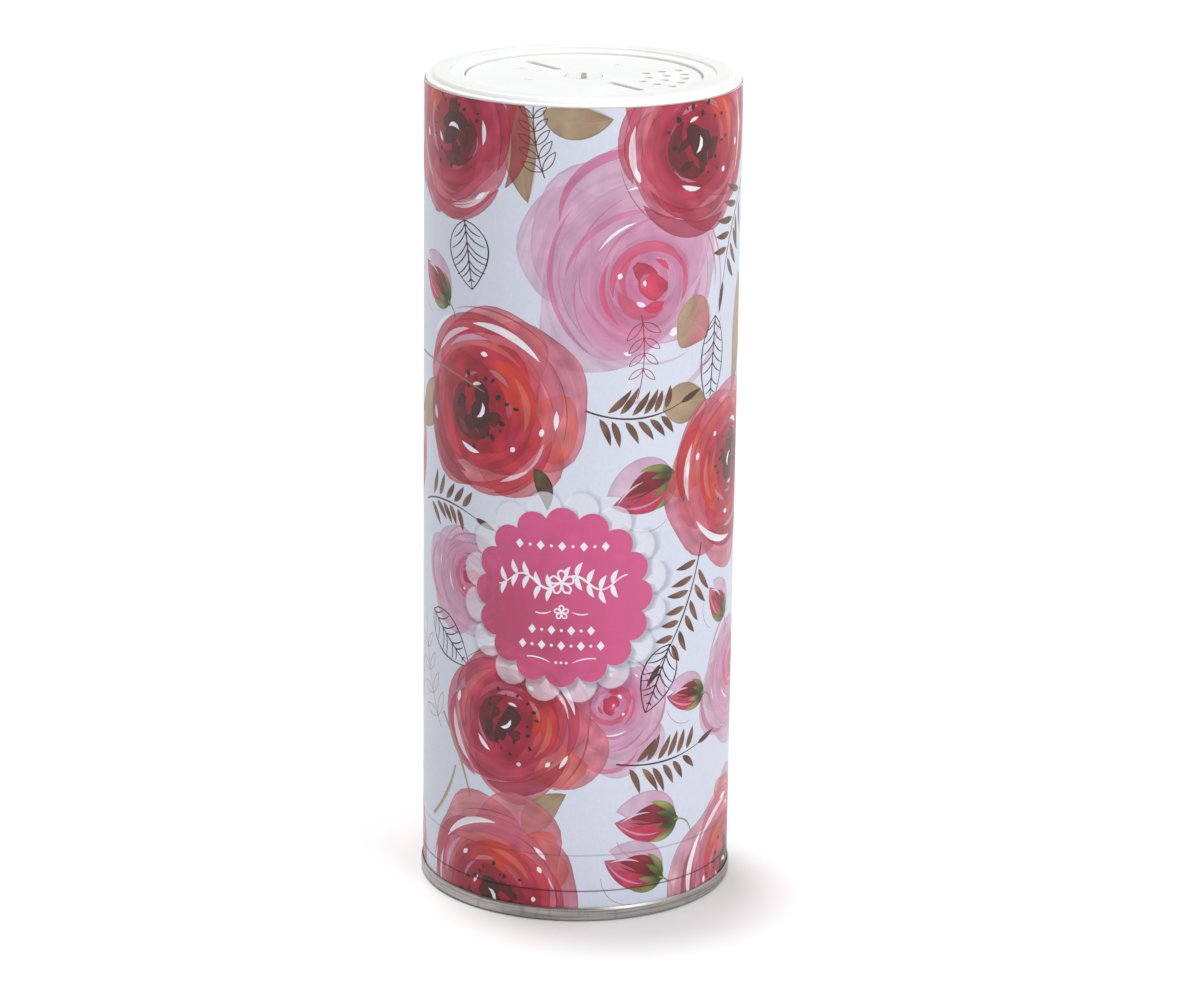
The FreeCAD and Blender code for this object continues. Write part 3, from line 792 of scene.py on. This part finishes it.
def build_label(material_print, material_paper):
    """The label as one closed sheet: printed face, cut edges and plain back."""
    low, high = (np.array([sign * LAP_ANGLE * LABEL_RADIUS, end.z / MM])
                 for sign, end in zip((-1, 1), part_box("label_wrap")))
    sheet = full_print()
    sheet.layers = clipped(sheet.layers, low, high)
    face, triangles = print_map(sheet, low, high)
    ink, brush = paint_corners(sheet, face[triangles])

    rim = np.flatnonzero(((face <= low + 1e-4) | (face >= high - 1e-4)).any(axis=1))
    rim = rim[np.argsort(along_border(face[rim], low, high))]
    ahead = np.roll(rim, -1)
    inner = grid(low, high, (3.4, 12.0))
    inner = inner[((inner > low + 1e-4) & (inner < high - 1e-4)).all(axis=1)]
    back, back_triangles = triangulate(np.vstack([face[rim], inner]), [], 1e-5)
    behind = {tuple(spot): i for i, spot in enumerate(np.round(back, 3).tolist())}
    mates = np.array([behind[tuple(spot)] for spot in np.round(face[rim], 3).tolist()]) + len(face)
    border = np.column_stack([ahead, rim, mates, np.roll(mates, -1)])
    back_triangles = back_triangles[:, ::-1] + len(face)

    mesh = bpy.data.meshes.new("label")
    places = np.vstack([wrapped(face), wrapped(back, SHEET_THICKNESS)])
    mesh.from_pydata(places.tolist(), [], triangles.tolist() + border.tolist() + back_triangles.tolist())
    mesh.materials.append(material_print)
    mesh.materials.append(material_paper)
    plain = len(border) + len(back_triangles)
    mesh.polygons.foreach_set("material_index", [0] * len(triangles) + [1] * plain)
    mesh.polygons.foreach_set("use_smooth", [True] * len(mesh.polygons))
    edges = edge_normals((face[rim] + face[ahead]) / 2, low, high)
    normals = np.vstack([facing(face[triangles.ravel()]), np.repeat(edges, 4, axis=0),
                         -facing(back[back_triangles.ravel() - len(face)])])
    mesh.normals_split_custom_set(normals.tolist())

    rest = len(normals) - ink.size // 3
    ink = np.vstack([np.maximum(linear(ink.reshape(-1, 3)) - VEIL, 0.005) * INK_GAIN, np.ones((rest, 3))])
    ink = np.column_stack([ink, np.ones(len(ink))])
    brush = np.vstack([brush.reshape(-1, 3), np.zeros((rest, 3))])
    colours = mesh.color_attributes.new(name="ink", type="FLOAT_COLOR", domain="CORNER")
    colours.data.foreach_set("color", ink.astype(np.float32).ravel())
    marks = mesh.attributes.new(name="brush", type="FLOAT_VECTOR", domain="CORNER")
    marks.data.foreach_set("vector", brush.astype(np.float32).ravel())
    return stand("label", mesh)


# ---- materials ----

class Finish:
    """A material in the making: one Principled shader and the procedural nodes that drive it."""

    def __init__(self, name, **constants):
        self.material = bpy.data.materials.new(name)
        self.material.use_nodes = True
        self.tree = self.material.node_tree
        self.shader = self.tree.nodes["Principled BSDF"]
        for socket, value in constants.items():
            self.shader.inputs[socket.replace("_", " ")].default_value = value
        self.place = self.add("TexCoord").outputs["Object"]

    def add(self, kind, **settings):
        node = self.tree.nodes.new("ShaderNode" + kind)
        for name, value in settings.items():
            setattr(node, name, value)
        return node

    def feed(self, node, **sources):
        """Sets or links a node's inputs, each given by its name or as i and its number."""
        for socket, source in sources.items():
            numbered = socket[0] == "i" and socket[1:].isdigit()
            target = node.inputs[int(socket[1:]) if numbered else socket]
            if isinstance(source, bpy.types.NodeSocket):
                self.tree.links.new(source, target)
            else:
                target.default_value = source
        return node

    def noise(self, scale, detail=3.0, stretch=(1, 1, 1), at=None):
        """Noise from 0 to 1, stretched along the axes, in object coordinates unless told otherwise."""
        scales = tuple(scale * s for s in stretch)
        spread = self.feed(self.add("Mapping"), Vector=at or self.place, Scale=scales)
        return self.feed(self.add("TexNoise"), Vector=spread.outputs[0], Scale=1.0, Detail=detail).outputs[0]

    def band(self, value, low, high, start=0.0, end=1.0):
        """The value, with the range from start to end spread over low to high."""
        node = self.add("MapRange", clamp=True)
        return self.feed(node, Value=value, i1=start, i2=end, i3=low, i4=high).outputs[0]

    def mix(self, share, first, second, kind="MIX"):
        node = self.add("Mix", data_type="RGBA", blend_type=kind)
        return self.feed(node, i0=share, i6=first, i7=second).outputs[2]

    def maths(self, operation, first, second):
        return self.feed(self.add("Math", operation=operation), i0=first, i1=second).outputs[0]

    def made(self, colour, roughness=None, height=None, depth=0.0, strength=0.5):
        """The material with its colour, its roughness, and fine relief of a depth in metres."""
        self.tree.links.new(colour, self.shader.inputs["Base Color"])
        if roughness:
            self.tree.links.new(roughness, self.shader.inputs["Roughness"])
        if height:
            bump = self.feed(self.add("Bump"), Height=height, Distance=depth, Strength=strength)
            self.tree.links.new(bump.outputs[0], self.shader.inputs["Normal"])
        return self.material


def grey(value):
    return (value, value, value, 1)


def printed_label():
    """Varnished print: the ink, brush streaks and pooled pigment in it, and the grain of the paper."""
    finish = Finish("printed_label", Coat_Weight=0.2, Coat_Roughness=0.18, Coat_IOR=1.5, IOR=1.38)
    ink = finish.add("Attribute", attribute_name="ink").outputs["Color"]
    marks = finish.add("Attribute", attribute_name="brush").outputs["Vector"]
    strength = finish.feed(finish.add("SeparateXYZ"), Vector=marks).outputs[2]
    streaks = finish.band(finish.noise(1.0, 5.0, (0.8, 0.45, 0.2), marks), -0.20, 0.20, 0.25, 0.75)
    pooled = finish.band(finish.noise(160, 4.0), -0.10, 0.10, 0.3, 0.7)
    grain = finish.band(finish.noise(1500, 2.0), -0.022, 0.022, 0.3, 0.7)
    shade = finish.maths("MULTIPLY", finish.maths("ADD", streaks, pooled), strength)
    shade = finish.maths("ADD", finish.maths("ADD", shade, grain), 1.0)
    tint = finish.feed(finish.add("CombineColor"), i0=shade, i1=shade, i2=shade).outputs[0]
    gloss = finish.band(finish.noise(420, 3.0), 0.40, 0.50)
    return finish.made(finish.mix(1.0, ink, tint, "MULTIPLY"), gloss, finish.noise(900, 3.0), 0.00001)


def label_paper():
    """The uncoated back and the cut edges of the label."""
    finish = Finish("label_paper", IOR=1.45)
    fibre = finish.noise(1200, 4.0, (1, 1, 0.35))
    tone = finish.mix(finish.band(fibre, 0, 1, 0.3, 0.7), (0.70, 0.70, 0.72, 1), (0.83, 0.83, 0.84, 1))
    return finish.made(tone, finish.band(fibre, 0.75, 0.9), fibre, 0.00002)


def moulded_plastic(name, tone, gloss, top=0.0):
    """Moulded plastic: flow clouding, fine spark-eroded texture, rubbed patches, and painted shade in the
    recesses below the top.
    """
    finish = Finish(name, IOR=1.49, Subsurface_Weight=0.08, Subsurface_Scale=0.002)
    fine = finish.noise(2600, 2.0)
    pale = tuple(c * 1.03 for c in tone) + (1,)
    # Painted shade: a darker, browner white for the recesses below the top face.
    recess_shade = (tone[0] * 0.72, tone[1] * 0.69, tone[2] * 0.65, 1)
    height = finish.feed(finish.add("SeparateXYZ"), Vector=finish.place).outputs[2]
    # The share of painted recess shade: full at 0.6 mm below the top face, none at the face.
    deep = finish.band(height, 1.0, 0.0, top - 0.0006, top)
    cloud = finish.band(finish.noise(70, 3.0), 0, 1, 0.3, 0.7)
    colour = finish.mix(cloud, tone + (1,), pale)
    rubbed = finish.maths("ADD", finish.noise(160, 4.0), finish.maths("MULTIPLY", fine, 0.3))
    roughness = finish.band(rubbed, gloss - 0.05, gloss + 0.10, 0.35, 0.95)
    return finish.made(finish.mix(deep, colour, recess_shade), roughness, fine, 0.000012, 0.4)


def tinplate():
    """Rolled tinplate: drawn-out grain with painted reflection bands, small scuffs and dull patches."""
    finish = Finish("tinplate", Metallic=1.0, Anisotropic=0.4)
    # Bands round the can: partly rolling grain, partly painted reflection lines of the seam's profile.
    grain = finish.noise(2200, 3.0, (0.03, 0.03, 1))
    scuff = finish.noise(500, 5.0, (1, 1, 0.3))
    # The tone is kept darker than bare tin, as a painted reflection of darker surroundings.
    tone = finish.mix(finish.band(grain, 0, 1, 0.36, 0.64), (0.27, 0.25, 0.235, 1), (0.50, 0.475, 0.45, 1))
    tone = finish.mix(finish.band(scuff, 0, 0.5, 0.58, 0.72), tone, (0.19, 0.175, 0.165, 1))
    dull = finish.maths("ADD", finish.noise(90, 4.0), finish.maths("MULTIPLY", grain, 0.4))
    return finish.made(tone, finish.band(dull, 0.24, 0.46, 0.4, 1.0), grain, 0.000008, 0.6)


def tube_board():
    """Grey-brown winding board, with fibres and the faint spiral of the plies."""
    finish = Finish("tube_board", IOR=1.45)
    fibre = finish.noise(1400, 5.0, (1, 1, 0.25))
    fleck = finish.noise(420, 2.0)
    tone = finish.mix(finish.band(fibre, 0, 1, 0.3, 0.7), (0.38, 0.31, 0.23, 1), (0.55, 0.47, 0.37, 1))
    tone = finish.mix(finish.band(fleck, 0, 0.5, 0.62, 0.70), tone, (0.22, 0.17, 0.12, 1))
    return finish.made(tone, finish.band(fibre, 0.8, 0.95), fibre, 0.00004, 0.7)


def liner_foil():
    """The foil-faced liner: lightly crinkled, with soft dull patches."""
    finish = Finish("liner_foil", Metallic=0.4)
    crinkle = finish.noise(260, 5.0, (1, 1, 0.6))
    dull = finish.noise(60, 3.0)
    tone = finish.mix(finish.band(dull, 0, 1, 0.3, 0.7), (0.68, 0.68, 0.70, 1), (0.80, 0.80, 0.81, 1))
    return finish.made(tone, finish.band(crinkle, 0.26, 0.42), crinkle, 0.00003)


def sealing_compound():
    """Dark grey lining rubber, slightly uneven."""
    finish = Finish("sealing_compound", IOR=1.5)
    lump = finish.noise(700, 3.0)
    tone = finish.mix(lump, grey(0.10), grey(0.18))
    return finish.made(tone, finish.band(lump, 0.5, 0.7), lump, 0.00003, 0.6)


def studio_floor():
    """The pale sweep under the can, with a barely visible texture."""
    finish = Finish("studio_floor", Roughness=0.8, Specular_IOR_Level=0.2)
    return finish.made(finish.mix(finish.noise(14, 3.0), grey(0.90), grey(0.93)))


# ---- the scene ----

def dress(node, material):
    """Gives a CAD node its material."""
    for held in node.material_slots:
        held.material = material


def hang(name, kind, source, target, energy):
    """A lamp at a source, pointed at a target."""
    lamp = bpy.data.lights.new(name, kind)
    lamp.energy = energy
    holder = stand(name, lamp)
    holder.location = source
    holder.rotation_mode = "QUATERNION"
    holder.rotation_quaternion = (target - source).to_track_quat("-Z", "Y")
    return lamp


def area_light(name, source, target, size, power):
    """A soft box at a place, pointed at a target, in metres and watts."""
    lamp = hang(name, "AREA", Vector(source), Vector(target), power)
    lamp.shape = "RECTANGLE"
    lamp.size, lamp.size_y = size


def sun(name, tilt, azimuth, angle, strength):
    """Even light. Tilt is from the zenith. Azimuth 0 is behind the camera, and 90 is to its right."""
    tilt, azimuth = math.radians(tilt), math.radians(azimuth)
    side = math.sin(tilt)
    source = Vector((side * math.sin(azimuth), -side * math.cos(azimuth), math.cos(tilt)))
    hang(name, "SUN", source, Vector(), strength).angle = math.radians(angle)


def build_floor(height):
    """A wide pale floor, just under the foot of the can."""
    reach, gap = 6.0, 0.0001
    corners = [(-reach, -reach, 0), (reach, -reach, 0), (reach, reach, 0), (-reach, reach, 0)]
    mesh = bpy.data.meshes.new("floor")
    mesh.from_pydata(corners, [], [(0, 1, 2, 3)])
    mesh.materials.append(studio_floor())
    floor = stand("floor", mesh)
    floor.location = (0, 0, height - gap)


def build_world(sky, wall):
    """A dim sky overhead that turns to a bright, even wall near the horizon."""
    world = bpy.data.worlds.new("studio")
    world.use_nodes = True
    tree = world.node_tree
    place = tree.nodes.new("ShaderNodeTexCoord")
    split = tree.nodes.new("ShaderNodeSeparateXYZ")
    fade = tree.nodes.new("ShaderNodeMapRange")
    tree.links.new(place.outputs["Generated"], split.inputs[0])
    tree.links.new(split.outputs[2], fade.inputs[0])
    wall_top, sky_foot = 0.07, 0.13
    for socket, value in zip(fade.inputs[1:5], (wall_top, sky_foot, wall, sky)):
        socket.default_value = value
    tree.nodes["Background"].inputs[0].default_value = (1, 1, 1, 1)
    tree.links.new(fade.outputs[0], tree.nodes["Background"].inputs[1])
    bpy.context.scene.world = world


def build_camera(place, pitch, roll, lens):
    """A long lens a little above the lid, looking along +Y, with the slight roll of the picture."""
    pitch, roll = math.radians(pitch), math.radians(roll)
    ahead = Vector((0, math.cos(pitch), -math.sin(pitch)))
    level, rise = Vector((1, 0, 0)), Vector((0, math.sin(pitch), math.cos(pitch)))
    right = level * math.cos(roll) + rise * math.sin(roll)
    up = rise * math.cos(roll) - level * math.sin(roll)
    data = bpy.data.cameras.new("camera")
    data.sensor_width = 36
    data.lens = lens
    data.clip_start, data.clip_end = 0.05, 20
    camera = stand("camera", data)
    camera.matrix_world = Matrix.Translation(place) @ Matrix((right, up, -ahead)).transposed().to_4x4()
    bpy.context.scene.camera = camera


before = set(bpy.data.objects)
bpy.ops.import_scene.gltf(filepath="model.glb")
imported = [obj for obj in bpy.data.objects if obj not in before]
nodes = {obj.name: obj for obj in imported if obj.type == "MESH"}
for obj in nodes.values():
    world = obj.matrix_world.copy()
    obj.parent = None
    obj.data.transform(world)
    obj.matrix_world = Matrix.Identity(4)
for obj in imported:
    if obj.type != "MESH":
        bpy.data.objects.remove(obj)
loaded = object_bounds()

label = build_label(printed_label(), label_paper())
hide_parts("label_wrap")
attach(label, "can")

board = tube_board()
dress(nodes["outer_board_ply"], board)
dress(nodes["inner_board_ply"], board)
dress(nodes["tube_liner"], liner_foil())
dress(nodes["bottom_end"], tinplate())
dress(nodes["seam_compound"], sealing_compound())
# The plug's white is set a little darker than the dial's, as painted shade on the front of its flange.
dress(nodes["sifter_plug"], moulded_plastic("plug_plastic", (0.87, 0.87, 0.865), 0.34))
# The dial's top face: the painted recess shade begins just below it.
dial_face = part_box("sifter_dial")[1].z - 0.0001
dress(nodes["sifter_dial"], moulded_plastic("dial_plastic", (0.91, 0.91, 0.91), 0.30, dial_face))

build_floor(loaded[0].z)
build_world(sky=0.10, wall=1.05)
sun("overhead", tilt=0, azimuth=0, angle=110, strength=2.14)
sun("drop", tilt=7, azimuth=-148, angle=8, strength=1.32)
area_light("front_right", source=(1.0, -1.15, 0.45), target=(0, 0, 0.1), size=(0.7, 0.9), power=9.7)
build_camera(place=(0.00457, -0.87678, 0.34374), pitch=16.397, roll=0.743, lens=126.02)
bpy.context.scene.view_settings.view_transform = "Standard"
